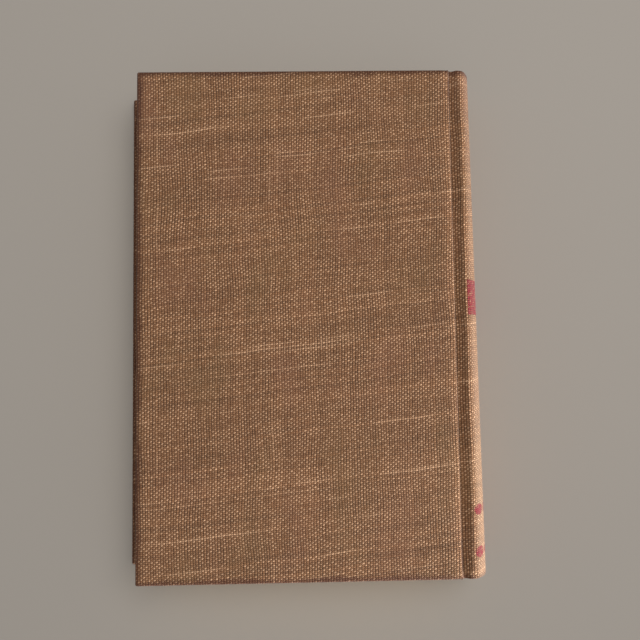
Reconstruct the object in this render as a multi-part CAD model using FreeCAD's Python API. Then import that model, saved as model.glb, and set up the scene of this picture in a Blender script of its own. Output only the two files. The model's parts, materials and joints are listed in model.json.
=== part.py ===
import FreeCAD, Part
import math
import os

# A cloth-bound hardback lying on its front cover. +X points to the spine, +Y to the head, +Z up.
# The origin is under the middle of the closed book, on the surface that it lies on. Sizes in mm.

# Closed book
book_thickness = 31.5
lean_slope = 0.30

# Boards and their cloth
board_height = 209.2
board_width = 129.5
board_thickness = 2.4
cloth_thickness = 0.4
cloth_fold_radius = 0.7
turn_in_width = 15.0
mitre_gap = 0.3
mitre_depth = 0.2

# Joint: the groove between a board and the shoulder of the spine
joint_width = 5.2
groove_depth = 2.2
crest_depth = 0.8
groove_bottom_share = 0.7
hinge_clearance = 0.7
hinge_rise = 0.15

# Where the layers inside the joint bend: shares of the joint's width off the crest, then depths
rise_foot_share = 0.49
rise_top_share = 0.28
turn_in_bend_share = 0.9
turn_in_low_share = 0.58
turn_in_end_share = 0.24
turn_in_end_depth = 1.6
flap_bend_share = 0.9
flap_low_share = 0.56
flap_end_share = 0.38
flap_low_depth = 2.8
flap_end_depth = 2.15
paste_bend_share = 0.85
paste_low_share = 0.56
paste_end_share = 0.4
paste_low_depth = 3.1
paste_end_depth = 2.5
mitred_join = 2

# Spine of the case
spine_bulge_head = 9.1
spine_bulge_tail = 10.7
inlay_thickness = 0.35
inlay_half_width = 10.2
spine_turn_in_half_width = 13.2

# Leaves
head_square = 3.0
fore_square = 3.0
fore_edge_hollow = 5.0
block_bulge = 6.8
shoulder_cover = 1.2
shoulder_inset = 0.3
shoulder_length = 4.7
shoulder_bend_share = 0.06
shoulder_bend_rise = 0.05
paper_thickness = 0.15
leaf_clearance = 0.3

# Spine linings and bands
glue_line = 0.05
mull_thickness = 0.25
mull_half_width = 13.0
mull_flap_width = 25.0
mull_end_margin = 13.0
lining_thickness = 0.2
lining_half_width = 11.0
lining_end_margin = 2.0
band_bead_diameter = 2.0
band_bead_sides = 5
band_half_width = 10.6
band_tape_length = 10.0

# Worked out from the sizes above
V = FreeCAD.Vector
middle_z = book_thickness / 2
half_height = board_height / 2 + cloth_thickness
half_block = half_height - head_square
turn_in_start = half_height - turn_in_width
crest_half_chord = middle_z - crest_depth
board_inner = cloth_thickness + board_thickness
turn_in_inner = board_inner + cloth_thickness
block_depth = turn_in_inner + paper_thickness + leaf_clearance + paper_thickness
board_joint_edge = joint_width + cloth_thickness
board_fore_edge = board_joint_edge + board_width
cover_reach = board_fore_edge + cloth_thickness
half_mull = half_block - mull_end_margin
inlay_outer = cloth_thickness + glue_line
inlay_inner = inlay_outer + inlay_thickness


def arch_radius(half_chord, bulge):
    return (half_chord**2 + bulge**2) / (2 * bulge)


# The crest line sits so that the closed book is centred on the origin, with the lean counted in.
tail_radius = arch_radius(crest_half_chord, spine_bulge_tail)
spine_reach = tail_radius * math.hypot(1, lean_slope) - tail_radius + spine_bulge_tail
fore_reach = cover_reach + lean_slope * crest_half_chord
crest_x = (fore_reach - spine_reach) / 2


def lean(shape):
    """The leaves have slid over one another, so what they carry leans towards the spine with height."""
    matrix = FreeCAD.Matrix()
    matrix.A13 = lean_slope
    matrix.A14 = -lean_slope * middle_z
    return shape.transformGeometry(matrix)


def leaning_prism(section, length):
    return lean(Part.Face(section).extrude(V(0, length, 0)))


def place_cover(shape, side):
    """A cover is drawn as the upper one, measured from its crest; the lower one is its mirror image."""
    shift = lean_slope * crest_half_chord
    if side == "back":
        return shape.translated(V(crest_x + shift, 0, book_thickness))
    return shape.mirror(V(0, 0, 0), V(0, 0, 1)).translated(V(crest_x - shift, 0, 0))


def cover_box(reach_0, reach_1, half_width, depth_0, depth_1):
    """A slab of the upper cover, from its reach off the crest and its depth under the outer face."""
    size = (reach_1 - reach_0, 2 * half_width, depth_1 - depth_0)
    return Part.makeBox(*size, V(-reach_1, -half_width, -depth_1))


def joint_curve(points, y):
    """The soft bend of a layer in the joint, as two arcs laid through five points of one curve."""
    curve = Part.BezierCurve()
    curve.setPoles([V(-reach, y, -depth) for reach, depth in points])
    on_curve = [curve.value(step / 4) for step in range(5)]
    return [Part.Arc(*on_curve[0:3]).toShape(), Part.Arc(*on_curve[2:5]).toShape()]


def joint_sheet(points, thickness, y_0, y_1):
    """A sheet that crosses the joint: its outer curve, and the same curve set deeper by the thickness."""
    under = [(reach, depth + thickness) for reach, depth in points]
    ends = [Part.makeLine(V(-reach, y_0, -depth), V(-reach, y_0, -depth - thickness))
            for reach, depth in (points[0], points[-1])]
    edges = joint_curve(points, y_0) + joint_curve(under, y_0) + ends
    section = Part.Face(Part.Wire(Part.__sortEdges__(edges)))
    return section.extrude(V(0, y_1 - y_0, 0))


def board():
    return cover_box(board_joint_edge, board_fore_edge, board_height / 2, cloth_thickness, board_inner)


def groove_cloth():
    """The cloth between the board and the crest: down the board's edge, along the groove, up to the crest."""
    bottom = joint_width * groove_bottom_share
    wall = [(joint_width, crest_depth), (joint_width, groove_depth), (bottom, groove_depth)]
    rise = [(bottom, groove_depth), (joint_width * rise_foot_share, groove_depth),
            (joint_width * rise_top_share, crest_depth), (hinge_clearance, crest_depth)]
    line = Part.Wire(joint_curve(wall, -half_height) + joint_curve(rise, -half_height))
    section = line.makeOffset2D(-cloth_thickness, mitred_join, True, True)
    return section.extrude(V(0, 2 * half_height, 0))


def groove_turn_in(y_0, y_1):
    points = [(board_joint_edge + cloth_thickness, board_inner), (joint_width * turn_in_bend_share, board_inner),
              (joint_width * turn_in_low_share, groove_depth + cloth_thickness),
              (joint_width * turn_in_end_share, turn_in_end_depth)]
    return joint_sheet(points, cloth_thickness, y_0, y_1)


def mitre(corner_y):
    """The folded corner shows as a line from the corner of the board across the turned-in cloth."""
    length = turn_in_width * math.sqrt(2)
    line = Part.makeBox(length, mitre_gap, mitre_depth, V(0, -mitre_gap / 2, -mitre_depth))
    line.rotate(V(0, 0, 0), V(0, 0, 1), -math.copysign(45, corner_y))
    return line.translated(V(-board_fore_edge, corner_y, -turn_in_inner + mitre_depth))


def cover_cloth():
    wrap = cover_box(joint_width, cover_reach, half_height, 0, turn_in_inner)
    wrap = wrap.makeFillet(cloth_fold_radius, wrap.Edges)
    open_inside = cover_box(0, board_fore_edge + cloth_thickness - turn_in_width, turn_in_start,
                            board_inner, turn_in_inner + cloth_thickness)
    cloth = wrap.cut(open_inside).fuse(groove_cloth())
    cloth = cloth.fuse([groove_turn_in(-half_height, -turn_in_start), groove_turn_in(turn_in_start, half_height)])
    cloth = cloth.cut(board())
    return cloth.cut([mitre(board_height / 2), mitre(-board_height / 2)]).removeSplitter()


def mull_flap():
    """The gauze of the spine runs on under the pasted-down endpaper, short of the turned-in cloth."""
    across = [(board_joint_edge, board_inner), (joint_width * flap_bend_share, board_inner),
              (joint_width * flap_low_share, flap_low_depth), (joint_width * flap_end_share, flap_end_depth)]
    flat = cover_box(board_joint_edge, board_joint_edge + mull_flap_width, half_mull, board_inner,
                     board_inner + mull_thickness)
    return flat.fuse(joint_sheet(across, mull_thickness, -half_mull, half_mull))


def tray(reach_0, reach_1, half_width, depth):
    """A place where the endpaper is pressed outwards, on to the board, with its own paper at the sides."""
    dip = cover_box(reach_0 - paper_thickness, reach_1 + paper_thickness, half_width + paper_thickness,
                    depth, turn_in_inner + paper_thickness)
    return dip, cover_box(reach_0, reach_1, half_width, depth + paper_thickness, turn_in_inner + paper_thickness)


def pastedown():
    """The endpaper glued inside the cover, over the turned-in cloth and down on to the bare board."""
    fore_edge = cover_reach - fore_square
    start = board_joint_edge + paper_thickness
    flap_end = board_joint_edge + mull_flap_width + paper_thickness
    window_end = cover_reach - turn_in_width - paper_thickness
    half_window = turn_in_start - paper_thickness
    sheet = cover_box(start, fore_edge, half_block, turn_in_inner, turn_in_inner + paper_thickness)
    over_board, board_hollow = tray(flap_end, window_end - paper_thickness, half_window - paper_thickness, board_inner)
    over_flap, flap_hollow = tray(start + paper_thickness, flap_end, half_window - paper_thickness,
                                  board_inner + mull_thickness)
    across = [(start, turn_in_inner), (joint_width * paste_bend_share, turn_in_inner),
              (joint_width * paste_low_share, paste_low_depth), (joint_width * paste_end_share, paste_end_depth)]
    sheet = sheet.fuse([over_board, over_flap]).cut([board_hollow, flap_hollow])
    return sheet.fuse(joint_sheet(across, paper_thickness, -half_block, half_block)).removeSplitter()


def ring_section(centre_x, radius, depth_0, steps, y):
    """A slice across an arched layer, from depth_0 under the arch of that radius.

    Each step is a height off the middle and the depth that the layer has inside it, from the ends inwards.
    """
    def point(depth, angle):
        reach = radius - depth
        return V(centre_x + reach * math.cos(angle), y, middle_z + reach * math.sin(angle))

    corners = []
    depth_outside = depth_0
    for width, depth in steps:
        angle = math.asin(width / radius)
        corners += [(depth_outside, angle), (depth, angle)]
        depth_outside = depth
    corners += [(depth, -angle) for depth, angle in reversed(corners)]
    edges = []
    for start, end in zip(corners, corners[1:] + corners[:1]):
        if start[1] == end[1]:
            edges.append(Part.makeLine(point(*start), point(*end)))
        else:
            middle = point(start[0], (start[1] + end[1]) / 2)
            edges.append(Part.Arc(point(*start), middle, point(*end)).toShape())
    return Part.Wire(edges)


def case_layer(depth_0, steps, y_0, y_1):
    """A layer of the case's spine, whose arch is flatter at the head than at the tail."""
    sections = []
    for y in (y_0, y_1):
        share = (y + half_height) / (2 * half_height)
        bulge = spine_bulge_tail + (spine_bulge_head - spine_bulge_tail) * share
        radius = arch_radius(crest_half_chord, bulge)
        sections.append(ring_section(crest_x + bulge - radius, radius, depth_0, steps, y))
    return lean(Part.makeLoft(sections, True, True))


block_half_chord = crest_half_chord - shoulder_cover
block_radius = arch_radius(block_half_chord, block_bulge)
block_centre_x = crest_x - shoulder_inset + block_bulge - block_radius


def block_layer(height_0, height_1, half_width, y_0, y_1):
    """A layer glued round the back of the leaves, between two heights over them."""
    radius = block_radius + height_1
    section = ring_section(block_centre_x, radius, 0, [(half_width, height_1 - height_0)], y_0)
    return leaning_prism(section, y_1 - y_0)


def spine_inlay():
    fold = half_height - cloth_thickness
    return case_layer(inlay_outer, [(inlay_half_width, inlay_inner)], -fold, fold)


def spine_cloth():
    """The cloth over the spine, turned in over the ends of the inlay at the head and the tail."""
    one_layer = (crest_half_chord, cloth_thickness)
    beside_inlay = (spine_turn_in_half_width, 2 * cloth_thickness)
    pocket_half_width = inlay_half_width + glue_line
    pocket_depth = inlay_inner + glue_line
    over_inlay = (pocket_half_width + cloth_thickness, pocket_depth + cloth_thickness)
    cloth = case_layer(0, [one_layer], -turn_in_start, turn_in_start)
    for end in (-1, 1):
        start, hem, edge = [end * y for y in (turn_in_start, half_height - cloth_thickness, half_height)]
        turned = case_layer(0, [one_layer, beside_inlay, over_inlay], start, edge)
        pocket = case_layer(cloth_thickness, [(pocket_half_width, pocket_depth)], start, hem)
        cloth = cloth.fuse(turned.cut(pocket))
    return cloth


def leaf_face(side, raised, y):
    """One outer face of the leaves: flat from the fore edge, then up the shoulder to the crest."""
    flat_z = middle_z - block_depth + raised
    crest = (crest_x - shoulder_inset, block_half_chord + raised)
    foot = (crest[0] - shoulder_length, flat_z)
    bend = (crest[0] - shoulder_length * shoulder_bend_share, flat_z + shoulder_bend_rise)
    fore = (fore_x(), flat_z)

    def place(point):
        return V(point[0], y, middle_z + side * point[1])

    curve = Part.BezierCurve()
    curve.setPoles([place(foot), place(bend), place(crest)])
    return [Part.makeLine(place(fore), place(foot)), curve.toShape()]


def fore_x():
    return crest_x - cover_reach + fore_square


def page_block():
    """All the leaves as one solid: rounded back, shoulders, hollow fore edge."""
    lower = leaf_face(-1, 0, -half_block)
    upper = leaf_face(1, 0, -half_block)
    crest = V(block_centre_x + math.sqrt(block_radius**2 - block_half_chord**2), -half_block, middle_z)
    reach = V(0, 0, block_half_chord)
    back = Part.Arc(crest - reach, V(block_centre_x + block_radius, -half_block, middle_z), crest + reach)
    flat = V(fore_x(), -half_block, middle_z)
    half_flat = V(0, 0, middle_z - block_depth)
    front = Part.Arc(flat - half_flat, flat + V(fore_edge_hollow, 0, 0), flat + half_flat)
    edges = lower + upper + [back.toShape(), front.toShape()]
    return leaning_prism(Part.Wire(Part.__sortEdges__(edges)), 2 * half_block)


def flyleaf(side):
    """The free half of an endpaper, lying on the leaves and running up the shoulder."""
    inner = leaf_face(side, 0, -half_block)
    outer = leaf_face(side, paper_thickness, -half_block)
    ends = [Part.makeLine(inner[0].Vertexes[0].Point, outer[0].Vertexes[0].Point),
            Part.makeLine(inner[1].Vertexes[-1].Point, outer[1].Vertexes[-1].Point)]
    return leaning_prism(Part.Wire(Part.__sortEdges__(inner + outer + ends)), 2 * half_block)


def mull():
    return block_layer(glue_line, glue_line + mull_thickness, mull_half_width, -half_mull, half_mull)


def spine_lining():
    reach = half_block - lining_end_margin
    under = 2 * glue_line + mull_thickness
    return block_layer(under, under + lining_thickness, lining_half_width, -reach, reach)


def end_band(end):
    """A woven band: a bead on the ends of the leaves, with its tape glued down under the spine lining."""
    bead_radius = band_bead_diameter / 2
    half_angle = math.asin(band_half_width / block_radius)
    inside = block_radius + glue_line
    outside = inside + mull_thickness
    tape_end = half_block - band_tape_length

    def point(radius, y):
        return V(block_centre_x + radius * math.cos(half_angle), end * y, middle_z - radius * math.sin(half_angle))

    outline = [point(outside - 2 * bead_radius, half_block), point(inside, half_block), point(inside, tape_end),
               point(outside, tape_end)]
    for corner in range(band_bead_sides + 1):
        turn = math.pi * corner / band_bead_sides
        outline.append(point(outside - bead_radius + bead_radius * math.cos(turn),
                             half_block + bead_radius * math.sin(turn)))
    section = Part.Face(Part.makePolygon(outline))
    return lean(section.revolve(V(block_centre_x, 0, middle_z), V(0, -1, 0), math.degrees(2 * half_angle)))


def build():
    nodes = {
        "page_block": page_block(),
        "front_flyleaf": flyleaf(-1),
        "back_flyleaf": flyleaf(1),
        "mull": mull(),
        "spine_lining": spine_lining(),
        "head_band": end_band(1),
        "tail_band": end_band(-1),
        "spine_inlay": spine_inlay(),
        "spine_cloth": spine_cloth(),
    }
    for side in ("front", "back"):
        nodes[side + "_board"] = place_cover(board(), side)
        nodes[side + "_cloth"] = place_cover(cover_cloth(), side)
        nodes[side + "_mull_flap"] = place_cover(mull_flap(), side)
        nodes[side + "_pastedown"] = place_cover(pastedown(), side)
    return nodes


os.makedirs("parts", exist_ok=True)
for name, shape in build().items():
    box = shape.BoundBox
    print(name, "valid", shape.isValid(), "solids", len(shape.Solids), "volume", round(shape.Volume, 1),
          "x", round(box.XMin, 2), round(box.XMax, 2), "y", round(box.YMin, 2), round(box.YMax, 2),
          "z", round(box.ZMin, 2), round(box.ZMax, 2))
    shape.exportStep("parts/" + name + ".step")
crest_shift = lean_slope * crest_half_chord
print("hinge lines: back x", round(crest_x + crest_shift, 3), "z", round(book_thickness - crest_depth + hinge_rise, 3),
      "front x", round(crest_x - crest_shift, 3), "z", round(crest_depth - hinge_rise, 3))
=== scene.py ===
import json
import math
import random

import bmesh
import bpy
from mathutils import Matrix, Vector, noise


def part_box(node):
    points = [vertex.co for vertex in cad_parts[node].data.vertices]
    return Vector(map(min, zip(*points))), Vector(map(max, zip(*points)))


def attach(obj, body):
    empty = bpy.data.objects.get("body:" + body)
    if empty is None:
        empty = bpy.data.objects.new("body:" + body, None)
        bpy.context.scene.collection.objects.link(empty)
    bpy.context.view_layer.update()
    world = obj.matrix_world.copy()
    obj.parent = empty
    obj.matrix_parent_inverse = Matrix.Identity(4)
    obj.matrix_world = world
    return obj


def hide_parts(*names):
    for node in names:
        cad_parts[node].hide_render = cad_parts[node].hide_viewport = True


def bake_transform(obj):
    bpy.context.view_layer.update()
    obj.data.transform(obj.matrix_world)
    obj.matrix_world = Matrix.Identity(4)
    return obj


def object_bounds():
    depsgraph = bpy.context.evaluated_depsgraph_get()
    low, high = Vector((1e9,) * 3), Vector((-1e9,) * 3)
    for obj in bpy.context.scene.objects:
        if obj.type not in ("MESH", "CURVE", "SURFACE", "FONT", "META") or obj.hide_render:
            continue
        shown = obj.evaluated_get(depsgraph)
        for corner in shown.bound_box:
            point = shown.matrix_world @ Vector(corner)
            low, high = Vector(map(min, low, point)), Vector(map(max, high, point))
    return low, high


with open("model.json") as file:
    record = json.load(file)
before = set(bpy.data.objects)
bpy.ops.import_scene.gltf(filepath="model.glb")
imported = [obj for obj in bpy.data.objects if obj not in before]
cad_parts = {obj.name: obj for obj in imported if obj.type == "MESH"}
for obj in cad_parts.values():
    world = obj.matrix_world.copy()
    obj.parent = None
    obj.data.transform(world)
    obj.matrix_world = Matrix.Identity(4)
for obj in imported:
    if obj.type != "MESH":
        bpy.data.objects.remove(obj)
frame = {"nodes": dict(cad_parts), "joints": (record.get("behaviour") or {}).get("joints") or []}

# %% [markdown]
# A cloth-bound hardback, closed, lying on its front cover. The boards, the leaves and the hinges are
# already fixed by the frame. This script dresses them: woven book cloth folded round the boards, leaves
# whose cut edges can be counted, bands wound with thread, and endpapers with a strip of paper in each
# joint.
# Everything is in metres, +X towards the spine, +Y towards the head, +Z up.

mm = 0.001
random.seed(11)

cad_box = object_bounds()
hinges = {joint["child"]: Vector(joint["pos_m"]) for joint in frame["joints"]}
cloth_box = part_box("back_cloth")
board_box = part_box("back_board")
block_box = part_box("page_block")
thickness = cad_box[1].z
middle_z = thickness / 2
half_height = cloth_box[1].y
cloth = board_box[0].x - cloth_box[0].x
crest_depth = 0.8 * mm
crest_half_chord = middle_z - crest_depth
lean_slope = (hinges["back_cover"].x - hinges["front_cover"].x) / (2 * crest_half_chord)
crest_x = (hinges["back_cover"].x + hinges["front_cover"].x) / 2
print("thickness", thickness, "cloth", cloth, "lean", lean_slope, "crest", crest_x, "box", cad_box)

# %% [markdown]
# Between each board and the crest of the spine the cloth is pressed into a groove. Its outline is drawn
# once, as distances from the crest and depths below the cover: it starts where the board's edge begins
# to round off, drops down the edge, and rises in a soft bend to the crest.

# %% The outline of the groove
joint_width = 5.2 * mm
groove_depth = 2.2 * mm
groove_bottom = joint_width * 0.7
cover_height = 3.2 * mm
edge_drop = 0.34 * mm
edge_round = 3.6 * mm
flat_half_spine = 19.2 * mm
crest_back = hinges["back_cover"].x
fore_back = cloth_box[0].x


def bezier_point(points, share):
    """A point on the curve that the given points pull into shape, two of them or more."""
    while len(points) > 1:
        points = [a.lerp(b, share) for a, b in zip(points, points[1:])]
    return points[0]


def groove_path():
    """The outside of the cloth from the board's edge to the crest, as reach from the crest and depth."""
    wall = [Vector((joint_width, edge_drop)), Vector((joint_width - 0.45 * mm, edge_drop + 0.12 * mm)),
            Vector((joint_width - 0.25 * mm, groove_depth)), Vector((groove_bottom, groove_depth))]
    rise = [Vector((groove_bottom, groove_depth)), Vector((groove_bottom * 0.62, groove_depth)),
            Vector((groove_bottom * 0.42, crest_depth)), Vector((0.0, crest_depth))]
    path = [bezier_point(wall, step / 8) for step in range(9)]
    return path + [bezier_point(rise, step / 12) for step in range(1, 13)]


groove_points = groove_path()
groove_lengths = [0.0]
for before, after in zip(groove_points, groove_points[1:]):
    groove_lengths.append(groove_lengths[-1] + (after - before).length)
fold_across = flat_half_spine + groove_lengths[-1] + crest_back - joint_width - fore_back
print("groove", round(groove_lengths[-1], 5), "middle of the spine to the fore fold", round(fold_across, 4))

# %% [markdown]
# The camera hangs almost straight above the back cover, as a reader bends over a book that lies flat.
# Its place was worked out from the four corners of the cover in the picture, so it is tilted a few
# degrees: the tail of the book is a little nearer than the head.

# %% Camera
camera_data = bpy.data.cameras.new("overhead_camera")
camera = bpy.data.objects.new("overhead_camera", camera_data)
bpy.context.scene.collection.objects.link(camera)
camera_data.sensor_width = 36
camera_data.lens = 36
camera.location = (cloth_box[0].x + 70.2 * mm, -17.2 * mm, thickness + 261.2 * mm)
camera.rotation_euler = [math.radians(angle) for angle in (3.78, -1.00, -0.87)]
camera_data.clip_start = 0.01
bpy.context.scene.camera = camera
bpy.context.scene.view_settings.view_transform = "Standard"
print("camera at", tuple(round(value, 4) for value in camera.location))

# %% [markdown]
# Materials are node trees, and the weave of book cloth is mostly arithmetic on thread counts. The class
# below wraps a socket, so that `1 - mask` or `crown * 0.5` adds the Math node that does it. Any other
# node comes from one method, which sets the node's options first and then its inputs.

# %% Node arithmetic
class Field:
    """A number that varies over a surface."""

    def __init__(self, finish, socket):
        self.finish = finish
        self.socket = socket

    def math(self, operation, *others, clamp=False):
        values = {index: value for index, value in enumerate((self,) + others)}
        return self.finish.node("ShaderNodeMath", values, operation=operation, use_clamp=clamp)[0]

    def __add__(self, other):
        return self.math("ADD", other)

    def __sub__(self, other):
        return self.math("SUBTRACT", other)

    def __mul__(self, other):
        return self.math("MULTIPLY", other)

    def __truediv__(self, other):
        return self.math("DIVIDE", other)

    def __rsub__(self, other):
        return self.math("MULTIPLY", -1).math("ADD", other)

    __radd__ = __add__
    __rmul__ = __mul__

    def sine(self):
        return self.math("SINE")

    def floor(self):
        return self.math("FLOOR")

    def size(self):
        return self.math("ABSOLUTE")

    def power(self, exponent):
        return self.math("POWER", exponent)

    def least(self, other):
        return self.math("MINIMUM", other)

    def most(self, other):
        return self.math("MAXIMUM", other)

    def ramp(self, low, high):
        """0 below low, 1 above high, and a smooth rise between them."""
        values = {0: self, 1: low, 2: high, 3: 0, 4: 1}
        return self.finish.node("ShaderNodeMapRange", values, interpolation_type="SMOOTHSTEP")[0]


class Finish:
    """One material: a shader with its textures."""

    def __init__(self, name, roughness):
        self.material = bpy.data.materials.new(name)
        self.material.use_nodes = True
        self.tree = self.material.node_tree
        self.shader = self.tree.nodes["Principled BSDF"]
        self.shader.inputs["Roughness"].default_value = roughness
        self.shader.inputs["Specular IOR Level"].default_value = 0.25

    def put(self, socket, value):
        if isinstance(value, Field):
            self.tree.links.new(value.socket, socket)
        elif isinstance(value, bpy.types.NodeSocket):
            self.tree.links.new(value, socket)
        else:
            socket.default_value = value

    def node(self, kind, values=None, **options):
        made = self.tree.nodes.new(kind)
        for option, value in options.items():
            setattr(made, option, value)
        for key, value in (values or {}).items():
            self.put(made.inputs[key], value)
        return [Field(self, socket) for socket in made.outputs]

    def split(self, vector):
        return self.node("ShaderNodeSeparateXYZ", {0: vector})

    def place(self):
        """Where a point lies on its piece, in metres."""
        return self.node("ShaderNodeTexCoord")[3]

    def chart(self, name):
        """The two coordinates of one of the piece's own maps."""
        return self.split(self.node("ShaderNodeUVMap", uv_map=name)[0])[:2]

    def join(self, x, y, z=0.0):
        return self.node("ShaderNodeCombineXYZ", {0: x, 1: y, 2: z})[0]

    def noise(self, vector, scale, detail=2.0):
        return self.node("ShaderNodeTexNoise", {"Vector": vector, "Scale": scale, "Detail": detail})[0]

    def chance(self, vector):
        return self.node("ShaderNodeTexWhiteNoise", {"Vector": vector}, noise_dimensions="3D")[0]

    def mix(self, factor, colour_a, colour_b, blend="MIX"):
        made = self.tree.nodes.new("ShaderNodeMix")
        made.data_type = "RGBA"
        made.blend_type = blend
        self.put(made.inputs[0], factor)
        self.put(made.inputs[6], colour_a)
        self.put(made.inputs[7], colour_b)
        return made.outputs[2]

    def colour(self, value):
        self.put(self.shader.inputs["Base Color"], value)

    def bump(self, height, distance, strength=1.0):
        values = {"Height": height, "Distance": distance, "Strength": strength}
        self.put(self.shader.inputs["Normal"], self.node("ShaderNodeBump", values)[0])


def tone(red, green, blue):
    """A colour given as it looks on a screen, 0 to 255, turned into the light it stands for."""
    linear = [((value / 255 + 0.055) / 1.055) ** 2.4 for value in (red, green, blue)]
    return (*linear, 1.0)


# %% [markdown]
# Book cloth of this age is a plain weave of uneven threads: each crossing shows either the thread that
# runs up the book or the one that runs across it. A hundred thousand crossings are too many to model, so
# they are drawn: two crossed waves make the light tops of a checkerboard. The threads across rise a few
# degrees towards the spine, because the cloth was laid on a little askew. The pattern reads a map in
# metres that unfolds the cloth, so the threads turn round the board edges and the spine as real ones do.

# %% Threads of the cloth
warp_pitch = 1.08
weft_pitch = 0.80
weft_rise = math.tan(math.radians(6.2))
crown_lean = 0.61
first_thread = 500    # keeps every thread's number above 0


def weave(finish, across, along):
    """Thread numbers of a plain weave, and its crossings: above 0 where the warp lies on top. In mm."""
    place = finish.join(across, along)
    drift = finish.noise(place, 0.03, 1.0) - 0.5
    quiver = finish.noise(finish.join(across * 1.3, along * 0.25), 0.55, 2.0) - 0.5
    warp = (across + drift * 3.0 + quiver * 0.5) / warp_pitch + first_thread
    waver = finish.noise(finish.join(across * 0.3, along * 1.3), 0.5, 2.0) - 0.5
    weft = (along - across * weft_rise + drift * 2.6 + waver * 0.45) / weft_pitch + first_thread
    rising = ((warp - weft + 0.5) * math.pi).sine()
    falling = ((warp + weft + 0.5) * math.pi).sine()
    return warp, weft, rising * crown_lean - falling * (1 - crown_lean)


# %% [markdown]
# Over the weave comes its history, with some painted light. The luck of each thread makes some knots
# paler and some threads darker, and here and there a thicker, paler thread runs across. The folds along
# the edges of the boards are darkened, partly as handling dirt and partly as painted shade. The spine is
# painted paler towards the tail as a painted highlight, where the low lamp falls on it. Each of these is a
# number that varies over the cloth, and it mixes one more colour into what is there already.

# %% Book cloth
# The dark thread tone and the pit tone are painted shade for the dips and gaps of the weave.
thread_shade = tone(72, 41, 22)
thread_tan = tone(137, 97, 66)
knot_pale = tone(207, 166, 131)
pit_shade = tone(58, 32, 18)
olive = tone(124, 96, 62)
russet = tone(132, 88, 68)
# Handling dirt, and painted shade at the folded edges.
soil_and_shade = tone(70, 33, 20)
# A painted highlight for the spine towards the tail.
highlight_cream = tone(216, 194, 168)
thread_relief = 0.21 * mm


def book_cloth(name):
    finish = Finish(name, 0.88)
    u, v = finish.chart("cloth")
    across = u * 1000    # from metres to millimetres
    along = v * 1000
    warp, weft, crossing = weave(finish, across, along)
    weft_top = (crossing * -1).most(0.0)
    warp_top = crossing.most(0.0).power(0.7)
    warp_gap = 1 - (warp * math.pi).sine().size()
    weft_gap = 1 - (weft * math.pi).sine().size()
    furrow = 1 - warp_gap.ramp(0.38, 1.0)
    cover = crossing.size().ramp(0.0, 0.42)

    luck = finish.chance(finish.join(warp.floor(), weft.floor()))
    weft_luck = finish.chance(finish.join(weft.floor(), 3.0))
    warp_luck = finish.chance(finish.join(warp.floor(), 7.0))
    place = finish.join(across, along)
    patch = finish.noise(place, 0.10, 3.0)
    bands = finish.noise(finish.join(across * 0.013, weft * 0.38), 1.0, 3.0)
    ribbed_patch = finish.noise(finish.join(across + 90, along * 0.6), 0.06, 2.0).ramp(0.40, 0.62)
    field = finish.noise(finish.join(across + 400, along), 0.018, 2.0)
    tint = finish.noise(finish.join(across, along * 0.5 + 300), 0.05, 2.0)

    weft_runs = finish.noise(finish.join(across * 0.035 + weft_luck * 90, weft.floor() * 0.37), 1.0, 1.0)
    warp_runs = finish.noise(finish.join(warp.floor() * 0.37, along * 0.05 + warp_luck * 90), 1.0, 1.0)
    slub = weft_luck.ramp(0.88, 0.95) * weft_runs.ramp(0.50, 0.62)
    slub = slub.most(warp_luck.ramp(0.95, 0.985) * warp_runs.ramp(0.52, 0.62) * 0.45)

    # Painted shade in the weave: the pits where two gaps cross are darkened, and below, the threads are mixed
    # towards a shade tone where they dip between crossings.
    pit_luck = finish.chance(finish.join((warp + 0.5).floor(), (weft + 0.5).floor(), 5.0))
    pit = (warp_gap * weft_gap).ramp(0.14, 0.58) * pit_luck.power(0.9)
    top = weft_top.power(1.5) * (luck * 1.60 + 0.14) * (bands * 1.1 + patch * 0.5 + 0.14)
    light = top + slub * (crossing.size() * 0.50 + 0.05)
    colour = finish.mix(cover * 0.62 + furrow * 0.30, thread_shade, thread_tan)
    colour = finish.mix(light.least(0.92), colour, knot_pale)
    colour = finish.mix(pit, colour, pit_shade)
    # Painted shade: the furrows between the threads that run up the book are darkened.
    furrow_shade = 1 - (1 - furrow) * (ribbed_patch * 0.30 + 0.14)
    streak = (warp_luck - 0.5) * 0.18 + (weft_luck - 0.5) * 0.26 + (bands - 0.5) * 0.42
    streak = streak + (field - 0.5) * 0.22 + (patch - 0.5) * 0.12
    grey = (streak + 1.04) * furrow_shade
    colour = finish.mix(1.0, colour, finish.join(grey, grey, grey), "MULTIPLY")
    colour = finish.mix(tint.ramp(0.5, 0.75) * 0.22, colour, olive)
    colour = finish.mix((1 - tint).ramp(0.5, 0.75) * 0.25, colour, russet)
    # Handling dirt and painted shade together: the cloth is darkened near its folds at the head, the tail and the
    # fore edge.
    edge = cover_height / mm / 2
    from_end = (along.size() - half_height / mm - edge).size() - edge
    from_fore = (across.size() - fold_across / mm - edge).size() - edge
    soiled_and_shaded = 1 - (from_end.least(from_fore) + (patch - 0.5) * 3.6).ramp(0.6, 3.0)
    colour = finish.mix(soiled_and_shaded * 0.68, colour, soil_and_shade)
    # Painted highlight: the spine is mixed paler and creamier towards the tail, where the low lamp falls on it.
    spine_highlight = (across.size() * -1 + 20).ramp(0.5, 5.0) * (along * -0.0045 + 0.55).ramp(0.0, 1.0)
    colour = finish.mix(spine_highlight * 0.10, colour, highlight_cream)
    colour = stamp(finish, colour, across, along, cover, luck)
    finish.colour(colour)
    height = weft_top * (luck * 0.4 + 0.7) + warp_top * 0.8 + slub * 0.4 + furrow * ribbed_patch * 0.3
    finish.bump(height, thread_relief, 1.0)
    finish.shader.inputs["Sheen Weight"].default_value = 0.12
    finish.shader.inputs["Sheen Roughness"].default_value = 0.5
    return finish.material


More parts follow.
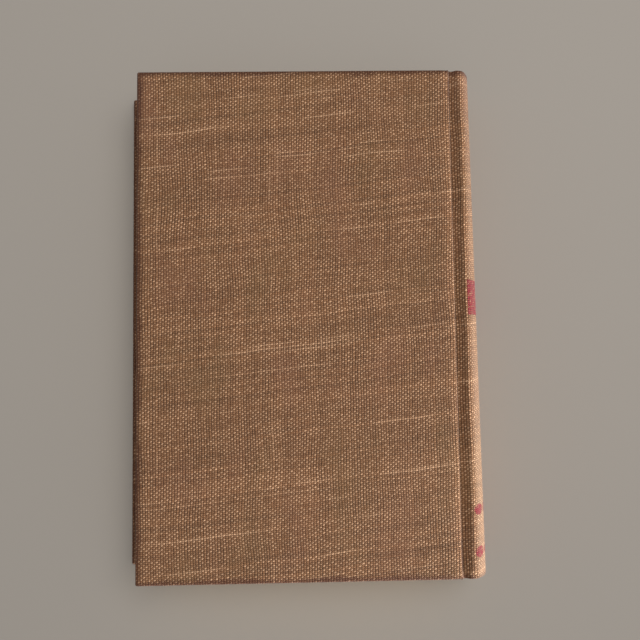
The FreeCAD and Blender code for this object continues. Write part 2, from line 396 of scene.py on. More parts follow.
# %% [markdown]
# The spine is stamped in red: a plain panel and, lower down, two rows of oval marks. Stamping lies on
# the tops of the threads and misses the gaps between them, so the red is a mask laid over the weave and
# let through less in the gaps. Its sizes are in millimetres, as the cloth's threads are.

# %% Stamping on the spine
panel_middle = 8.75
panel_half_height = 7.2
panel_half_width = 18.6
mark_rows = (-77.8, -94.6)
mark_pitch = 7.6
mark_half_width = 3.2
mark_half_height = 2.3
mark_offset = 0.50


def stamp(finish, colour, across, along, cover, luck):
    fray = (finish.noise(finish.join(across, along), 1.2, 2.0) - 0.5) * 0.5
    edge_y = panel_half_height - (along - panel_middle).size()
    edge_x = panel_half_width - across.size()
    mask = (edge_y.least(edge_x) + fray).ramp(-0.15, 0.2)
    steps = across / mark_pitch + mark_offset
    beside = (steps - steps.floor() - 0.5) * mark_pitch
    for row in mark_rows:
        up = (along - row) * (mark_half_width / mark_half_height)
        oval = mark_half_width - (beside * beside + up * up).power(0.5)
        mask = mask.most((oval + fray).ramp(-0.2, 0.3) * edge_x.ramp(0.0, 0.1))
    print("stamped panel", 2 * panel_half_width, "by", 2 * panel_half_height, "mm")
    worn = mask * (cover * 0.14 + 0.84) * (1 - luck * luck * 0.40)
    # The red is painted darker where the threads dip between crossings, as painted shade.
    return finish.mix(worn, colour, finish.mix(cover, tone(60, 10, 20), tone(136, 24, 42)))


# %% [markdown]
# Old paper has yellowed, and it shows in two ways here. The endpapers are smooth sheets with a faint
# fibre, a few clouds and small brown spots. The cut edges of the leaves show every leaf as a fine line.
# Those lines follow a map that counts the leaves, so they fan out with the leaves towards the back.

# %% Endpapers, and the cut edges of the leaves
def endpaper():
    finish = Finish("aged_endpaper", 0.82)
    place = finish.place()
    fibre = finish.noise(place, 900.0, 3.0)
    cloud = finish.noise(place, 22.0, 3.0)
    spot = finish.noise(place, 160.0, 1.0).ramp(0.70, 0.80)
    colour = finish.mix(cloud.ramp(0.3, 0.75), tone(226, 212, 184), tone(208, 190, 156))
    colour = finish.mix(fibre.ramp(0.35, 0.7) * 0.22, colour, tone(184, 162, 124))
    colour = finish.mix(spot * 0.35, colour, tone(164, 124, 82))
    finish.colour(colour)
    finish.bump(fibre + cloud * 2, 0.05 * mm, 0.4)
    return finish.material


def leaf_edges():
    finish = Finish("cut_leaf_edges", 0.85)
    u, v = finish.chart("leaves")
    leaf = v * leaf_count
    shade = finish.chance(finish.join(leaf.floor(), 0.0))
    fine = finish.noise(finish.join(u * 60, leaf * 2.5), 1.0, 2.0)
    stain = finish.noise(finish.join(u * 18, v * 3), 1.0, 3.0)
    gap = ((leaf - leaf.floor() - 0.5).size() * 2).ramp(0.72, 1.0)
    colour = finish.mix(shade, tone(216, 196, 158), tone(196, 172, 130))
    colour = finish.mix(fine.ramp(0.3, 0.8) * 0.35, colour, tone(170, 140, 98))
    colour = finish.mix(stain.ramp(0.5, 0.85) * 0.5, colour, tone(176, 142, 98))
    # Painted shade: the gap between one leaf and the next is drawn as a dark line.
    colour = finish.mix(gap * 0.55, colour, tone(120, 92, 60))
    finish.colour(colour)
    finish.bump(fine + shade - gap, 0.06 * mm, 0.5)
    return finish.material


# %% [markdown]
# Binder's board and the kraft paper on the back of the leaves are both pressed fibre, so one finish
# serves both, each with its own colours and ribs. Mull is a stiff open gauze: its threads are two crossed
# waves, and the glue shows between them.

# %% Board, kraft paper and gauze
def ribbed(name, light, dark, pitch, roughness):
    finish = Finish(name, roughness)
    place = finish.place()
    y = finish.split(place)[1]
    rib = (y * (2 * math.pi / (pitch * mm))).sine()
    fleck = finish.noise(place, 1400.0, 3.0)
    colour = finish.mix(fleck.ramp(0.3, 0.75), light, dark)
    finish.colour(colour)
    finish.bump(rib * 0.3 + fleck, 0.05 * mm, 0.5)
    return finish.material


def mull_gauze():
    mesh_width = 1.1 * mm
    finish = Finish("starched_mull", 0.9)
    x, y, z = finish.split(finish.place())
    thread_x = ((x + z) * (math.pi / mesh_width)).sine().size()
    thread_y = (y * (math.pi / mesh_width)).sine().size()
    thread = thread_x.most(thread_y).ramp(0.75, 0.98)
    finish.colour(finish.mix(thread, tone(158, 128, 88), tone(226, 218, 196)))
    finish.bump(thread, 0.12 * mm, 0.7)
    return finish.material


# %% [markdown]
# The bands at the head and the tail are wound with thread of two colours by turns. Their map runs once
# along the band, so the turns and the stripes are counted along it.

# %% Thread of the bands, and all the finishes made
def band_thread():
    finish = Finish("band_thread", 0.6)
    u, v = finish.chart("wound")
    stripe = (u * (math.pi * band_stripes)).sine().ramp(-0.15, 0.15)
    twist = ((u * band_wraps + v * 0.6) * (2 * math.pi)).sine()
    colour = finish.mix(stripe, tone(214, 196, 160), tone(142, 52, 48))
    # Painted shade: the thread is darkened in the groove between one turn and the next.
    colour = finish.mix(twist.ramp(-1.0, 0.2) * -0.55 + 0.55, colour, tone(70, 44, 32))
    finish.colour(colour)
    finish.bump(twist, 0.08 * mm, 0.6)
    return finish.material


leaf_count = 110
band_wraps = 62
band_stripes = 31
cloth_material = book_cloth("woven_book_cloth")
endpaper_material = endpaper()
leaves_material = leaf_edges()
kraft_material = ribbed("kraft_paper", tone(172, 132, 88), tone(146, 108, 70), 0.9, 0.85)
board_material = ribbed("binders_board", tone(150, 136, 112), tone(122, 108, 86), 2.4, 0.9)
gauze_material = mull_gauze()
thread_material = band_thread()
print("materials", len(bpy.data.materials))

# %% [markdown]
# The helpers for modelling come next. Operators work on all that is selected, so each step starts from
# nothing: a piece is made the only one selected, and then its edges are chosen by where they are.

# %% Helpers for modelling
def nothing_selected():
    bpy.ops.object.select_all(action="DESELECT")


def only(piece):
    """Selects this piece and nothing else, and makes it the active one."""
    nothing_selected()
    piece.select_set(True)
    bpy.context.view_layer.objects.active = piece


def begin_edit(piece):
    only(piece)
    bpy.ops.object.mode_set(mode="EDIT")
    bpy.ops.mesh.select_all(action="DESELECT")


def end_edit():
    bpy.ops.object.mode_set(mode="OBJECT")


def choose_edges(piece, wanted):
    """Selects the edges for which wanted(start, end, edge) is true."""
    bpy.ops.mesh.select_mode(type="EDGE")
    bpy.ops.mesh.select_all(action="DESELECT")
    mesh = bmesh.from_edit_mesh(piece.data)
    for edge in mesh.edges:
        edge.select_set(wanted(edge.verts[0].co, edge.verts[1].co, edge))
    mesh.select_flush_mode()
    bmesh.update_edit_mesh(piece.data)


def selected_points(piece):
    """The mesh being edited, to be kept as long as its points are in use, and its selected points."""
    mesh = bmesh.from_edit_mesh(piece.data)
    return mesh, [vertex for vertex in mesh.verts if vertex.select]


def extrude_edges(x=0.0, y=0.0, z=0.0):
    bpy.ops.mesh.extrude_edges_move(TRANSFORM_OT_translate={"value": (x, y, z)})


def apply_modifier(piece, kind, **options):
    only(piece)
    modifier = piece.modifiers.new(kind.lower(), kind)
    for option, value in options.items():
        setattr(modifier, option, value)
    bpy.ops.object.modifier_apply(modifier=modifier.name)


def settle(piece):
    """Puts the piece's place into its mesh, so that its object sits at the origin."""
    only(piece)
    bpy.ops.object.transform_apply(location=True, rotation=True, scale=True)


def dress(piece, material, angle):
    """Gives the piece its finish, and shades it smooth where faces meet at less than an angle."""
    only(piece)
    bpy.ops.object.shade_smooth_by_angle(angle=math.radians(angle))
    piece.data.materials.clear()
    piece.data.materials.append(material)


def ease(low, high, value):
    """0 below low, 1 above high, and a smooth rise between them."""
    share = max(0.0, min(1.0, (value - low) / (high - low)))
    return share * share * (3 - 2 * share)


def face_out(piece):
    begin_edit(piece)
    bpy.ops.mesh.select_all(action="SELECT")
    bpy.ops.mesh.normals_make_consistent(inside=False)
    end_edit()


def turn_out(piece, axis):
    """Turns a sheet over if the face that lies furthest along an axis looks the other way."""
    outermost = max(piece.data.polygons, key=lambda face: face.center[axis])
    if outermost.normal[axis] < 0:
        begin_edit(piece)
        bpy.ops.mesh.select_all(action="SELECT")
        bpy.ops.mesh.flip_normals()
        end_edit()


def grid(name, columns, rows, width, height, centre=(0, 0, 0)):
    nothing_selected()
    bpy.ops.mesh.primitive_grid_add(x_subdivisions=columns, y_subdivisions=rows, size=1, location=centre)
    piece = bpy.context.active_object
    piece.name = piece.data.name = name
    piece.scale = (width, height, 1)
    settle(piece)
    return piece


# %% [markdown]
# A cover is one sheet of cloth glued round a board: over the outside, down the edges, and turned in
# fifteen millimetres inside, with the corners mitred. It is made here as it is at the bench. A flat sheet
# the size of the board is laid down, its three free sides are pulled down and then inwards, and its
# fourth side is pressed into the groove and up to the crest of the spine. The folds are rounded with a
# bevel, and only then does the sheet get its thickness.

# %% Cloth round a board
turn_in = 15.0 * mm
fold_radius = 0.85 * mm
near = 0.01 * mm
strip_roll = 0.4 * mm
board_columns = 44
edge_columns = 7


def cover_cloth(name):
    """The cloth of the back cover, as it lies in the frame."""
    left, right = fore_back, crest_back - joint_width
    piece = grid(name, board_columns, 70, right - left, 2 * half_height, ((left + right) / 2, 0, thickness))
    wide = (right - left - edge_round) / (board_columns - edge_columns)
    for vertex in piece.data.vertices:
        column = round((vertex.co.x - left) / (right - left) * board_columns)
        beyond = max(column - board_columns + edge_columns, 0)
        vertex.co.x = left + (column - beyond) * wide + beyond * edge_round / edge_columns
    at_joint = lambda point: abs(point.x - right) < near
    begin_edit(piece)
    choose_edges(piece, lambda a, b, edge: edge.is_boundary and not (at_joint(a) and at_joint(b)))
    extrude_edges(z=fold_radius - cover_height)
    choose_edges(piece, lambda a, b, edge: is_top_fold(a, b, left, right))
    bpy.ops.mesh.bevel(offset=fold_radius, offset_type="OFFSET", segments=4, affect="EDGES", clamp_overlap=True)
    turn_in_hem(piece, left)
    choose_edges(piece, lambda a, b, edge: at_joint(a) and at_joint(b) and min(a.z, b.z) > thickness - near)
    last = Vector((joint_width, 0.0))
    for spot in groove_points[1:]:
        extrude_edges(x=last.x - spot.x, z=last.y - spot.y)
        last = spot
    widen_strip(piece, right + near)
    turn_in_strip(piece, right + near)
    close_corners(piece, right)
    bpy.ops.mesh.select_all(action="SELECT")
    bpy.ops.mesh.normals_make_consistent(inside=False)
    end_edit()
    return piece


# %% [markdown]
# The hem is rolled round the lower edge of the board in four small steps and then laid flat. At a corner
# each side gives way to the other along a slope of forty-five degrees, which is the mitre.

# %% Folds and hems
def is_top_fold(a, b, left, right):
    """The folds over the board's three free sides, and the two upright ones at its corners."""
    at_side = a.x < left + near and b.x < left + near
    at_end = abs(a.y) > half_height - near and abs(b.y - a.y) < near
    on_top = a.z > thickness - near and b.z > thickness - near
    upright = at_side and at_end and abs(a.z - b.z) > near
    return upright or on_top and (at_side or at_end) and max(a.x, b.x) < right + near


def turn_in_hem(piece, left):
    """Rolls the hanging edge of the cloth under the board and lays it flat, mitred at the corners."""
    level = thickness - cover_height + fold_radius
    choose_edges(piece, lambda a, b, edge: edge.is_boundary and max(a.z, b.z) < level + near)
    inner = half_height - fold_radius
    roll = 4
    before = []
    for step in range(1, roll + 1):
        extrude_edges()
        mesh, hem = selected_points(piece)
        before = before or [vertex.co.copy() for vertex in hem]
        angle = step * math.pi / 2 / roll
        for vertex, first in zip(hem, before):
            centre = Vector((max(first.x, left + fold_radius), max(-inner, min(inner, first.y)), 0))
            flat = Vector((first.x, first.y, 0)) - centre
            spot = centre + flat * math.cos(angle)
            vertex.co = Vector((spot.x, spot.y, level - fold_radius * math.sin(angle)))
        bmesh.update_edit_mesh(piece.data)
    extrude_edges()
    mesh, hem = selected_points(piece)
    reach = turn_in - fold_radius
    for vertex, first in zip(hem, before):
        from_fore = max(first.x - left - fold_radius, 0)
        from_end = max(inner - abs(first.y), 0)
        if from_fore < near:
            vertex.co.x += min(reach, from_end)
        if from_end < near:
            vertex.co.y -= math.copysign(min(reach, from_fore), first.y)
    bmesh.update_edit_mesh(piece.data)


# %% [markdown]
# Along the joint the cloth goes down the edge of the board and into the groove. That strip is a little
# wider than the top of the board, is folded under at its own two ends, and meets the ends of the board's
# folds there.

# %% The strip in the groove
def widen_strip(piece, start):
    """The board's fold ends short of the head and the tail; the strip in the groove goes further."""
    mesh = bmesh.from_edit_mesh(piece.data)
    for vertex in mesh.verts:
        if vertex.co.x > start and abs(vertex.co.y) > half_height - fold_radius - near:
            vertex.co.y = math.copysign(half_height - strip_roll, vertex.co.y)
    bmesh.update_edit_mesh(piece.data)


def close_corners(piece, right):
    """Draws the ends of the board's folds against the strip that comes down the board's edge."""
    mesh = bmesh.from_edit_mesh(piece.data)
    for vertex in mesh.verts:
        depth = thickness - vertex.co.z
        at_end = abs(vertex.co.y) > half_height - fold_radius - near
        if at_end and abs(vertex.co.x - right) < near and depth > fold_radius - near:
            vertex.co.x += 0.3 * mm + 0.5 * mm * ease(fold_radius, cover_height - fold_radius, depth)
    bmesh.update_edit_mesh(piece.data)


def turn_in_strip(piece, start):
    """The strip of cloth in the groove is folded under at the head and the tail, like the rest."""
    for end in (-1, 1):
        at_end = lambda point: point.x > start - 0.02 * mm and end * point.y > half_height - strip_roll - near
        choose_edges(piece, lambda a, b, edge: edge.is_boundary and at_end(a) and at_end(b)
                     and max(a.z, b.z) > thickness - groove_depth - near and a.x + b.x > 2 * start + near)
        roll, radius = 4, strip_roll
        for step in range(1, roll + 1):
            before, after = ((turn * math.pi / roll) for turn in (step - 1, step))
            extrude_edges(y=end * radius * (math.sin(after) - math.sin(before)),
                          z=radius * (math.cos(after) - math.cos(before)))
        extrude_edges(y=-end * turn_in)


back_cloth = cover_cloth("back_cover_cloth")
print("back cloth", len(back_cloth.data.vertices), "points")

# %% [markdown]
# The weave must run on unbroken over the folds, the groove and the spine, so every face is given its
# place on the flat cloth: u runs across, from the middle of the spine, and v runs up the book. A face on
# an edge or a turned-in hem carries on counting from the fold.

# %% The cloth laid flat
def along_groove(point):
    """How far down the groove a point of the back cover's cloth is, from the board's edge."""
    spot = Vector((crest_back - point.x, thickness - point.z))
    nearest = min(range(len(groove_points)), key=lambda index: (groove_points[index] - spot).length)
    return groove_lengths[nearest]


def unfold(piece):
    layer = piece.data.uv_layers[0]
    layer.name = "cloth"
    joint_x = crest_back - joint_width
    joint_u = -flat_half_spine - groove_lengths[-1]
    fore_u = joint_u - (joint_x - fore_back)
    for face in piece.data.polygons:
        out = face.normal
        hem = out.z < -0.5 and (face.center.x < joint_x or abs(face.center.y) < half_height - 0.1 * mm)
        for loop in face.loop_indices:
            point = piece.data.vertices[piece.data.loops[loop].vertex_index].co
            side = math.copysign(1, point.y)
            drop = thickness - point.z
            u = joint_u + point.x - joint_x
            v = point.y
            if face.center.x > joint_x + 0.01 * mm:
                u = joint_u + along_groove(point)
            if out.x < -0.7:
                u = fore_u - drop
            if abs(out.y) > 0.7:
                v = side * (half_height + drop)
            if hem and face.center.x < joint_x:
                if face.center.x - fore_back < half_height - abs(face.center.y):
                    u = fore_u - cover_height - (point.x - fore_back)
                else:
                    v = side * (2 * half_height + cover_height - abs(point.y))
            layer.data[loop].uv = (u, v)


turn_out(back_cloth, 2)
unfold(back_cloth)

# %% [markdown]
# The front cover is bound in the same way, so the finished sheet is copied, turned over about the middle
# of the book's thickness and moved to its own hinge. A negative scale turns faces inside out, so they are
# flipped back. Seen from the middle of the spine it lies on the other side, so its u has the other sign.

# %% The front cover is the back cover turned over
only(back_cloth)
bpy.ops.object.duplicate()
front_cloth = bpy.context.active_object
front_cloth.name = front_cloth.data.name = "front_cover_cloth"
bpy.ops.object.mode_set(mode="EDIT")
bpy.ops.mesh.select_all(action="SELECT")
bpy.ops.transform.resize(value=(1, 1, -1), center_override=(0, 0, middle_z))
bpy.ops.transform.translate(value=(hinges["front_cover"].x - hinges["back_cover"].x, 0, 0))
bpy.ops.mesh.flip_normals()
bpy.ops.object.mode_set(mode="OBJECT")
for spot in front_cloth.data.uv_layers["cloth"].data:
    spot.uv.x = -spot.uv.x
print("front cloth", len(front_cloth.data.vertices), "points")

# %% [markdown]
# Boards are never quite flat after a few decades, and the paste leaves the cloth a little uneven. A slow,
# very shallow wave on each cover gives the light something to slide over. The board's edge along the
# joint is rounded off by handling, and the groove is shallower at its two ends, where the cloth is double.

# %% A slight unevenness, then the thickness of the cloth
shallower = 0.6 * mm
wave_height = 0.07 * mm
grain_height = 0.025 * mm

for piece, seed, side in ((back_cloth, 3.0, 1), (front_cloth, 57.0, -1)):
    crest = hinges["back_cover" if side > 0 else "front_cover"].x
    for vertex in piece.data.vertices:
        in_groove = ease(crest - joint_width - near, crest - joint_width + 0.6 * mm, vertex.co.x)
        in_groove *= 1 - ease(crest - 1.6 * mm, crest, vertex.co.x)
        at_end = ease(half_height - 8 * mm, half_height - 0.5 * mm, abs(vertex.co.y))
        depth = thickness - vertex.co.z if side > 0 else vertex.co.z
        reach = crest - vertex.co.x
        if depth < fold_radius + near and joint_width - near < reach < joint_width + edge_round:
            vertex.co.z -= side * edge_drop * ((joint_width + edge_round - reach) / edge_round) ** 2
        vertex.co.z += side * in_groove * at_end * shallower
        wave = noise.noise(Vector((vertex.co.x * 22, vertex.co.y * 22, seed)))
        grain = noise.noise(Vector((vertex.co.x * 140, vertex.co.y * 140, seed)))
        vertex.co.z += wave * wave_height + grain * grain_height
    apply_modifier(piece, "SOLIDIFY", thickness=cloth, offset=-1, use_even_offset=False)
    dress(piece, cloth_material, 40)
    print(piece.name, "faces", len(piece.data.polygons))

# %% [markdown]
# The spine is the middle strip of the same cloth, drawn over a rounded inlay of card. It bulges a little
# more at the tail than at the head, and the whole book leans, so the arch is worked out at each height
# and then pushed over. Next to each crest it is a little fuller, so that it leaves the joint in a soft
# bend. At both ends the cloth is folded in over the inlay with a small round hem.

# %% The shape of the spine
bulge_head = 9.1 * mm
bulge_tail = 10.7 * mm
fullness = 2.1 * mm
full_reach = 6 * mm


def arch(half_chord, bulge):
    """Radius and half angle of the arc that stands a given bulge above its chord."""
    radius = (half_chord ** 2 + bulge ** 2) / (2 * bulge)
    return radius, math.asin(half_chord / radius)


def leaned(x, y, z):
    return Vector((x + lean_slope * (z - middle_z), y, z))


def spine_point(share, y, depth):
    """A point of the spine cloth: share is -1 at the back cover's crest and 1 at the front cover's."""
    bulge = bulge_tail + (bulge_head - bulge_tail) * (y / half_height + 1) / 2
    radius, half_angle = arch(crest_half_chord, bulge)
    angle = -share * half_angle
    centre = crest_x + bulge - radius
    from_crest = min((1 - abs(share)) * radius * half_angle / full_reach, 1.0)
    reach = radius - depth + from_crest * (1 - from_crest) ** 2 * fullness
    return leaned(centre + reach * math.cos(angle), y, middle_z + reach * math.sin(angle))


# %% [markdown]
# The cloth is a grid whose rows run from the hem at the head to the hem at the tail. Each row is a height
# and a depth under the outer side, so a row can lie in the straight part, in the round of the hem or in
# the turned-in end. The distances between the rows give the map its heights.

# %% Cloth over the spine
hem_radius = 0.4 * mm
spine_columns = 56
straight_steps, hem_steps, flat_steps = 40, 8, 6
hem_start = half_height - hem_radius
straight = [hem_start - step * hem_start / straight_steps for step in range(straight_steps)]
hem = [(hem_start + hem_radius * math.sin(step * math.pi / hem_steps),
        hem_radius - hem_radius * math.cos(step * math.pi / hem_steps)) for step in range(hem_steps, 0, -1)]
turned = [(hem_start - turn_in * step / flat_steps, 2 * hem_radius) for step in range(flat_steps, 0, -1)]
head_rows = turned + hem + [(y, 0.0) for y in straight]
spine_rows = head_rows + [(0.0, 0.0)] + [(-y, depth) for y, depth in reversed(head_rows)]
spine_lengths = [0.0]
for (y_a, d_a), (y_b, d_b) in zip(spine_rows, spine_rows[1:]):
    spine_lengths.append(spine_lengths[-1] + math.hypot(y_b - y_a, d_b - d_a))

spine_cloth = grid("spine_cloth_strip", spine_columns, len(spine_rows) - 1, 2, len(spine_rows) - 1)
spine_cloth.data.uv_layers[0].name = "cloth"
flat_places = []
for vertex in spine_cloth.data.vertices:
    share = vertex.co.x
    row = round(vertex.co.y + (len(spine_rows) - 1) / 2)
    y, depth = spine_rows[row]
    flat_places.append((share * flat_half_spine, spine_lengths[-1] / 2 - spine_lengths[row]))
    vertex.co = spine_point(share, y, depth)
for loop in spine_cloth.data.loops:
    spine_cloth.data.uv_layers["cloth"].data[loop.index].uv = flat_places[loop.vertex_index]
turn_out(spine_cloth, 0)
apply_modifier(spine_cloth, "SOLIDIFY", thickness=cloth, offset=-1, use_even_offset=False)
dress(spine_cloth, cloth_material, 50)
print("spine cloth faces", len(spine_cloth.data.polygons))

# %% [markdown]
# The leaves are one block on the real book only because they are sewn and glued at the back. Each leaf
# is a ridge here, with a thin gap to the next, and none is cut to quite the same length, so the edges
# look soft instead of sawn. At the back the leaves fan out over the shoulders, and the fore edge is
# hollow because the back is round.

# %% The shape of the block
block_crest = crest_x - 0.3 * mm
flat_half = middle_z - 3.8 * mm
block_half_chord = 13.75 * mm
block_bulge = 6.8 * mm
shoulder = 4.7 * mm
fore_hollow = 5.0 * mm
fore_x = crest_x - 132.5 * mm
half_block = block_box[1].y


def arc_height(offset, half_chord, bulge):
    """How far an arc stands above its chord at a distance from the middle."""
    radius, _ = arch(half_chord, bulge)
    return math.sqrt(max(radius ** 2 - offset ** 2, 0.0)) - (radius - bulge)


def half_depth(x):
    """Half the thickness of the leaves at a distance x, before the book leans."""
    foot = Vector((block_crest - shoulder, flat_half))
    bend = Vector((block_crest - shoulder * 0.06, flat_half + 0.05 * mm))
    crest = Vector((block_crest, block_half_chord))
    if x <= foot.x:
        return flat_half
    if x >= crest.x:
        return block_half_chord
    low, high = 0.0, 1.0
    for _ in range(30):
        share = (low + high) / 2
        if bezier_point([foot, bend, crest], share).x < x:
            low = share
        else:
            high = share
    return bezier_point([foot, bend, crest], share).y


def block_point(across, through, inset):
    """A point of the cut end: across runs from the fore edge to the back, through from -1 to 1."""
    start = fore_x + arc_height(through * flat_half, flat_half, fore_hollow) + inset
    stop = block_crest + arc_height(through * block_half_chord, block_half_chord, block_bulge) - inset * 0.3
    x = start + (stop - start) * across
    return x, middle_z + through * half_depth(x)


# %% [markdown]
# The block starts as a grid with two rows for each leaf, one for the leaf and one for the gap, and is
# extruded from the tail to the head. Then every point goes to its place on the rounded back, the hollow
# fore edge or the cut ends. Chance makes each leaf a little shorter, always the same way from run to run.

# %% The leaves
leaf_gap = 0.10 * mm
leaf_width = 140 * mm
block_columns = 44
leaf_rows = 2 * leaf_count
leaf_length = [random.uniform(0.0, 0.14) * mm for _ in range(leaf_count + 1)]
leaf_height = [random.uniform(0.0, 0.10) * mm for _ in range(leaf_count + 1)]
leaves = grid("sewn_leaves", block_columns, leaf_rows, 1, leaf_rows)
leaves.data.uv_layers[0].name = "leaves"
begin_edit(leaves)
bpy.ops.mesh.select_all(action="SELECT")
bpy.ops.mesh.extrude_region_move(TRANSFORM_OT_translate={"value": (0, 0, 1)})
end_edit()
leaf_places = []
for vertex in leaves.data.vertices:
    row = round(vertex.co.y + leaf_rows / 2)
    leaf = min(row // 2, leaf_count)
    gap = leaf_gap if row % 2 == 0 else 0.0
    across = vertex.co.x + 0.5
    side = 1 if vertex.co.z > 0.5 else -1
    outer = row in (0, leaf_rows)
    inset = 0.0 if outer else gap + leaf_length[leaf]
    x, z = block_point(across, 2 * row / leaf_rows - 1, inset)
    y = side * (half_block - (0.0 if outer else gap + leaf_height[leaf]))
    leaf_places.append((across * leaf_width, row / leaf_rows))
    vertex.co = leaned(x, y, z)
for face in leaves.data.polygons:
    long_side = abs(face.normal.y) < 0.5
    for loop in face.loop_indices:
        vertex = leaves.data.loops[loop].vertex_index
        u, v = leaf_places[vertex]
        if long_side:
            u = leaves.data.vertices[vertex].co.y
        leaves.data.uv_layers["leaves"].data[loop].uv = (u, v)
face_out(leaves)
dress(leaves, leaves_material, 30)
print("leaves", leaf_count, "faces", len(leaves.data.polygons))

# %% [markdown]
# The head and tail bands are a core wound with thread: a small round bead that sits on the ends of the
# leaves. It is a circle spun about the middle of the rounded back, one step for every third of a turn of
# thread, and the rings between the turns are drawn in. The two ends are closed last.

# %% Head and tail bands
block_radius, _ = arch(block_half_chord, block_bulge)
block_centre = block_crest + block_bulge - block_radius
band_half_angle = math.asin(10.6 * mm / block_radius)
bead_radius = 1.0 * mm
band_reach = block_radius - bead_radius + 0.3 * mm


def end_band(name, end):
    nothing_selected()
    centre_y = end * half_block
    bpy.ops.mesh.primitive_circle_add(vertices=14, radius=bead_radius, location=(0, 0, 0))
    band = bpy.context.active_object
    band.name = band.data.name = name
    band.location = (block_centre + band_reach, centre_y, middle_z)
    settle(band)
    begin_edit(band)
    bpy.ops.mesh.select_all(action="SELECT")
    middle = (block_centre, centre_y, middle_z)
    bpy.ops.transform.rotate(value=-band_half_angle, orient_axis="Y", center_override=middle)
    bpy.ops.mesh.spin(steps=band_wraps * 3, angle=2 * band_half_angle, center=middle, axis=(0, 1, 0))
    end_edit()
    return band


def wind(band, end):
    """Draws the bead in between the turns of thread, counts the turns, and leans the band."""
    layer = band.data.uv_layers.new(name="wound")
    places = []
    for vertex in band.data.vertices:
        x = vertex.co.x - block_centre
        z = vertex.co.z - middle_z
        turn = math.atan2(z, x)
        share = (turn / band_half_angle + 1) / 2
        distance = math.hypot(x, z)
        core = Vector((band_reach, end * half_block))
        off = Vector((distance, vertex.co.y)) - core
        groove = 0.93 + 0.07 * math.cos(share * band_wraps * 2 * math.pi)
        spot = core + off * groove
        places.append((share, math.atan2(off.y, off.x) / math.pi))
        vertex.co = leaned(block_centre + spot.x * math.cos(turn), spot.y, middle_z + spot.x * math.sin(turn))
    for loop in band.data.loops:
        layer.data[loop.index].uv = places[loop.vertex_index]


bands = []
for name, end in (("wound_head_band", 1), ("wound_tail_band", -1)):
    band = end_band(name, end)
    wind(band, end)
    begin_edit(band)
    choose_edges(band, lambda a, b, edge: edge.is_boundary)
    bpy.ops.mesh.edge_face_add()
    end_edit()
    face_out(band)
    dress(band, thread_material, 60)
    bands.append(band)
    print(name, "faces", len(band.data.polygons))

# %% [markdown]
# An endpaper is one folded sheet, half of it pasted to the cover and half left free. A short strip of the
# same paper joins the two halves in each joint. Its own slight sag keeps it from looking like a ruled
# plane.

# %% Endpaper folds
paper = 0.15 * mm
sag = 0.12 * mm


def paper_fold(name, cover, upward):
    crest = hinges[cover]
    end_reach, end_depth = 2.08 * mm, 2.52 * mm
    near_reach, near_depth = 0.60 * mm, 1.86 * mm
    strip = grid(name, 10, 2, 1, 2 * half_block)
    for vertex in strip.data.vertices:
        share = vertex.co.x + 0.5
        reach = end_reach + (near_reach - end_reach) * share
        depth = end_depth + (near_depth - end_depth) * share + sag * math.sin(share * math.pi)
        z = thickness - depth if upward else depth
        vertex.co = Vector((crest.x - reach, vertex.co.y, z))
    face_out(strip)
    apply_modifier(strip, "SOLIDIFY", thickness=paper, offset=0)
    dress(strip, endpaper_material, 40)
    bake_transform(strip)
    print(name, "faces", len(strip.data.polygons))


paper_fold("back_endpaper_fold", "back_cover", True)
paper_fold("front_endpaper_fold", "front_cover", False)

# %% [markdown]
# The parts that are the right shape already keep it, and only get their finish: the boards, the pasted
# halves and the free halves of the endpapers, the gauze, the card inlay and the kraft lining.

# %% Finishes for the parts that keep their shape
finishes = {
    "front_board": board_material, "back_board": board_material,
    "front_flyleaf": endpaper_material, "back_flyleaf": endpaper_material,
    "front_pastedown": endpaper_material, "back_pastedown": endpaper_material,
    "mull": gauze_material, "front_mull_flap": gauze_material, "back_mull_flap": gauze_material,
    "spine_lining": kraft_material, "spine_inlay": kraft_material,
}
for node, material in finishes.items():
    for place in frame["nodes"][node].material_slots:
        place.material = material
print("finished as they are:", ", ".join(finishes))

# %% [markdown]
# Each cover's cloth keeps its place in its own mesh and stays where it lies. The frame's own cloth, leaves
# and bands are hidden, and the new spine cloth, leaves and bands ride on the leaves.

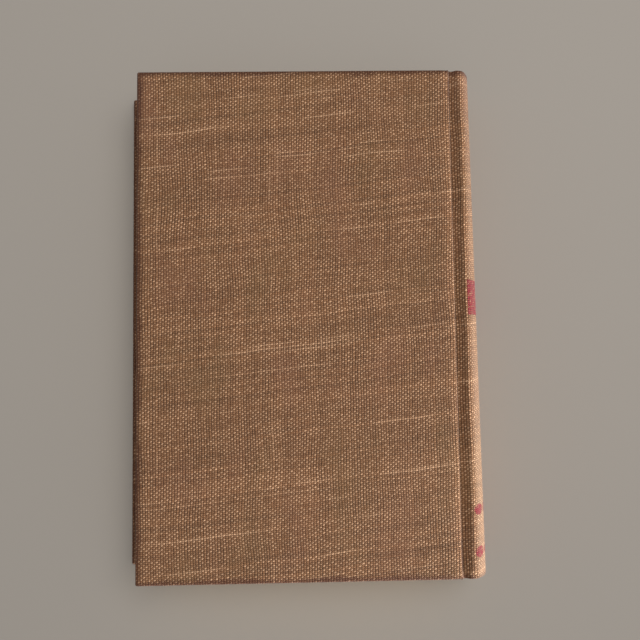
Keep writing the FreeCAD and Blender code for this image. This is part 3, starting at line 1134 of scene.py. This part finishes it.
# %% What moves with what
for piece, cover, node in ((back_cloth, "back_cover", "back_cloth"), (front_cloth, "front_cover", "front_cloth")):
    crest = hinges[cover]
    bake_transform(piece)
    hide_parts(node)
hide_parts("spine_cloth")
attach(spine_cloth, "text_block")
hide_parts("page_block")
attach(leaves, "text_block")
for band, node in zip(bands, ("head_band", "tail_band")):
    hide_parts(node)
    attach(band, "text_block")

# %% [markdown]
# The book lies on a plain pale floor. A broad soft light hangs over it on the spine side and lights the
# cover evenly. A second one stands low near the tail, as a window would: it brightens the spine towards
# the tail and rakes across the weave. So low a lamp would burn a white pool into the floor, so the floor
# is linked out of its light. The rest is even light from all round.

# %% Floor and light
nothing_selected()
bpy.ops.mesh.primitive_plane_add(size=3, location=(0, 0, 0))
floor = bpy.context.active_object
floor.name = "pale_floor"
floor_finish = Finish("pale_floor", 0.9)
floor_finish.colour((0.46, 0.425, 0.385, 1.0))
floor.data.materials.append(floor_finish.material)


def soft_light(name, place, aim, width, height, energy, colour):
    data = bpy.data.lights.new(name, "AREA")
    data.shape = "RECTANGLE"
    data.size = width
    data.size_y = height
    data.energy = energy
    data.color = colour
    light = bpy.data.objects.new(name, data)
    bpy.context.scene.collection.objects.link(light)
    light.location = place
    light.rotation_euler = (light.location - Vector(aim)).to_track_quat("Z", "Y").to_euler()
    return light


soft_light("overhead_softbox", place=(0.25, 0.24, 1.0), aim=(0, 0, 0), width=0.7, height=0.7,
           energy=5.6, colour=(1.0, 0.975, 0.945))
window = soft_light("low_window", place=(0.55, -0.455, 0.086), aim=(0.07, -0.06, 0.016), width=0.43,
                    height=0.15, energy=11.4, colour=(1.0, 0.98, 0.95))
shaded = bpy.data.collections.new("shaded_from_the_window")
shaded.objects.link(floor)
window.light_linking.receiver_collection = shaded
shaded.collection_objects[0].light_linking.link_state = "EXCLUDE"

world = bpy.data.worlds.new("room")
bpy.context.scene.world = world
world.use_nodes = True
all_round = world.node_tree.nodes["Background"]
all_round.inputs["Color"].default_value = (1.0, 0.985, 0.965, 1.0)
all_round.inputs["Strength"].default_value = 0.32
bpy.context.view_layer.update()
